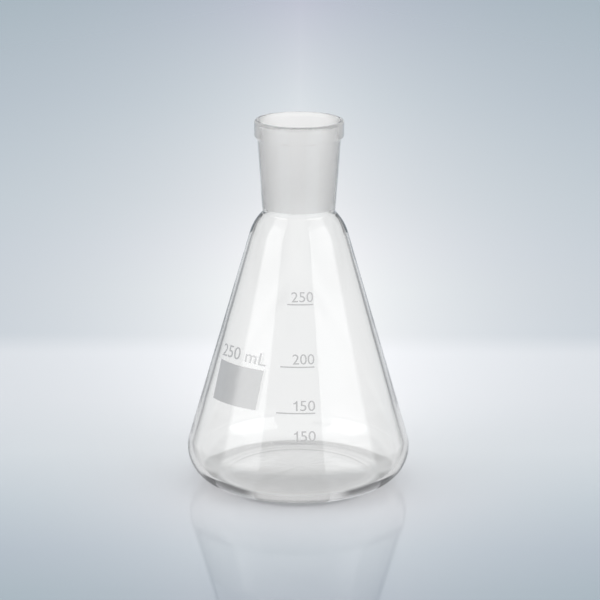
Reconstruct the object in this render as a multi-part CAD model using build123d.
"""Conical flask of 250 mL with a ground-joint socket, in millimetres, +Z up.

The flask stands on the XY plane with its axis on Z, and its printed side faces -Y.
The glass is one revolved wall. Its section is a list of corners that runs from the
middle of the underside out over the heel, up the outside, over the rim and down the
inside to the middle of the floor, and each corner has a radius of its own.
"""

import os
from math import acos, atan2, cos, degrees, hypot, sin

from build123d import *

# Overall
body_diameter = 85.0
height = 140.0

# Base and heel
base_thickness = 2.4
push_up = 1.6  # rise of the underside's middle above the table
foot_width = 2.4  # flat ring that the flask stands on
heel_radius = 13.0
heel_wall = 2.2

# Shoulder, where the cone turns in towards the neck
shoulder_wall = 1.5
shoulder_radius = 18.0
shoulder_step = 3.65  # how far the shoulder's corner lies outside the neck's root
shoulder_drop = 3.95  # how far it lies below that root
root_radius = 1.4  # concave turn from the shoulder to the neck

# Ground socket: a cone that narrows by 1 mm in diameter over each 10 mm of length
socket_mouth = 29.2
socket_length = 32.0
socket_taper = 1 / 10
socket_runout = 1.6  # unground stretch between that cone and the shoulder
neck_root_wall = 0.7
neck_top_wall = 1.25

# Rim collar
lip_depth = 1.5  # from the rim's face down to the ground cone
lip_flare = 0.7  # how far the mouth opens over that depth
collar_height = 6.0
collar_proud = 1.2
collar_bevel = 1.2  # height of the sloping underside
collar_blend = 1.0
collar_edge = 1.2

# Fired enamel print: bearings are degrees round from the front, minus to the left
enamel = 0.08
field_bottom = 36.7
field_top = 51.1
field_bearing = -44.4
field_width = 22.4
scale_bearing = 4.4
scale_margin = 3.55  # from that bearing to the right-hand end of every line
scale_line = 0.45  # thickness of a line
scale_marks = [  # height above the table, length
    (75.2, 9.7),
    (53.0, 12.7),
    (36.6, 14.6),
    (25.8, 15.8),
]


def meet(line_a, line_b):
    """Point where two lines cross, each given by two points on it."""
    (ax, az), (bx, bz) = line_a
    (cx, cz), (dx, dz) = line_b
    ux, uz, vx, vz = bx - ax, bz - az, dx - cx, dz - cz
    share = ((cx - ax) * vz - (cz - az) * vx) / (ux * vz - uz * vx)
    return ax + share * ux, az + share * uz


def inwards(point, normal_angle, wall):
    """The point carried through the wall, against the outside's normal."""
    return point[0] - wall * cos(normal_angle), point[1] - wall * sin(normal_angle)


def level(z):
    """A horizontal line at this height."""
    return (0, z), (body_r, z)


body_r = body_diameter / 2

# Neck, from the socket outwards
socket_top = (socket_mouth / 2, height - lip_depth)
socket_foot = (
    socket_top[0] - socket_length * socket_taper / 2,
    socket_top[1] - socket_length,
)
neck_root = (socket_foot[0] + neck_root_wall, socket_foot[1] - socket_runout)
collar_foot_z = height - collar_height
bore_r_at_collar = socket_top[0] - (socket_top[1] - collar_foot_z) * socket_taper / 2
neck_top = (bore_r_at_collar + neck_top_wall, collar_foot_z - collar_bevel)
collar_r = neck_top[0] + collar_proud
mouth_r = socket_top[0] + lip_flare
rim_width = collar_r - mouth_r

# Outside of the body: the cone is the tangent from the shoulder's corner to the heel's circle
heel_centre = (body_r - heel_radius, heel_radius)
shoulder = (neck_root[0] + shoulder_step, neck_root[1] - shoulder_drop)
reach = (shoulder[0] - heel_centre[0], shoulder[1] - heel_centre[1])
cone_angle = atan2(reach[1], reach[0]) - acos(heel_radius / hypot(*reach))
shoulder_angle = atan2(shoulder_step, shoulder_drop)
heel_end = inwards(heel_centre, cone_angle, -heel_radius)
cone = (heel_end, shoulder)

# Inside of the body
inner_cone = (
    inwards(heel_end, cone_angle, heel_wall),
    inwards(shoulder, cone_angle, shoulder_wall),
)
inner_shoulder = (
    inwards(shoulder, shoulder_angle, shoulder_wall),
    inwards(neck_root, shoulder_angle, neck_root_wall),
)
below_socket = (socket_foot, (socket_foot[0], 0))

# The underside is pushed up as a shallow cone with a flat middle, inside the ring it stands on
foot_r = heel_centre[0] - foot_width
middle_r = foot_r / 2


def glass_wall():
    """The whole flask, one revolved section."""
    corners = [
        ((0, push_up), None),
        ((middle_r, push_up), 0),
        ((foot_r, 0), 0),
        (meet(level(0), cone), heel_radius),
        (shoulder, shoulder_radius),
        (neck_root, root_radius),
        (neck_top, collar_blend),
        ((collar_r, collar_foot_z), collar_blend),
        ((collar_r, height), min(collar_edge, 0.6 * rim_width)),
        ((mouth_r, height), 0),
        (socket_top, 0),
        (socket_foot, 0),
        (meet(below_socket, inner_shoulder), root_radius),
        (meet(inner_shoulder, inner_cone), shoulder_radius - shoulder_wall),
        (meet(inner_cone, level(base_thickness)), heel_radius - heel_wall),
        ((foot_r, base_thickness), 0),
        ((middle_r, base_thickness + push_up), 0),
        ((0, base_thickness + push_up), None),
    ]
    points = [point for point, _ in corners]
    radii = [radius for _, radius in corners[1:-1]]
    with BuildPart() as glass:
        with BuildSketch(Plane.XZ):
            with BuildLine():
                wall = FilletPolyline(*points, radius=radii)
                Line(wall @ 1, wall @ 0)
            make_face()
        revolve(axis=Axis.Z)
    return glass.part


def enamel_film(bottom, top, left, right):
    """A film of enamel on the cone between two heights and two bearings."""
    foot = meet(cone, level(bottom))
    head = meet(cone, level(top))
    outer_head = inwards(head, cone_angle, -enamel)
    outer_foot = inwards(foot, cone_angle, -enamel)
    with BuildPart() as film:
        with BuildSketch(Plane.XZ):
            with BuildLine():
                Polyline(foot, outer_foot, outer_head, head, close=True)
            make_face()
        revolve(axis=Axis.Z, revolution_arc=right - left)
    return Rot(0, 0, left - 90) * film.part


def marking_field():
    """The field to write on: its sides are straight, as a flat screen prints them."""
    band = enamel_film(field_bottom, field_top, -90, 90)
    screen = Pos(0, -body_r, height / 2) * Box(field_width, 2 * body_r, height)
    return Rot(0, 0, field_bearing) * (band & screen)


def scale_lines():
    """The graduation lines, which all end on one straight edge at their right."""
    lines = []
    for mark_height, length in scale_marks:
        cone_r = meet(cone, level(mark_height))[0]
        right = scale_bearing + degrees(scale_margin / cone_r)
        left = right - degrees(length / cone_r)
        bottom = mark_height - scale_line / 2
        lines.append(enamel_film(bottom, bottom + scale_line, left, right))
    return Compound(children=lines)


nodes = {
    "flask_body": glass_wall(),
    "marking_field": marking_field(),
    "scale_lines": scale_lines(),
}
os.makedirs("parts", exist_ok=True)
for node, shape in nodes.items():
    export_step(shape, f"parts/{node}.step")
    box = shape.bounding_box()
    print(f"{node}: {shape.volume:.2f} mm3, {box.min.Z:.2f} to {box.max.Z:.2f} mm high")
print(f"cone half-angle {degrees(cone_angle):.2f} degrees")
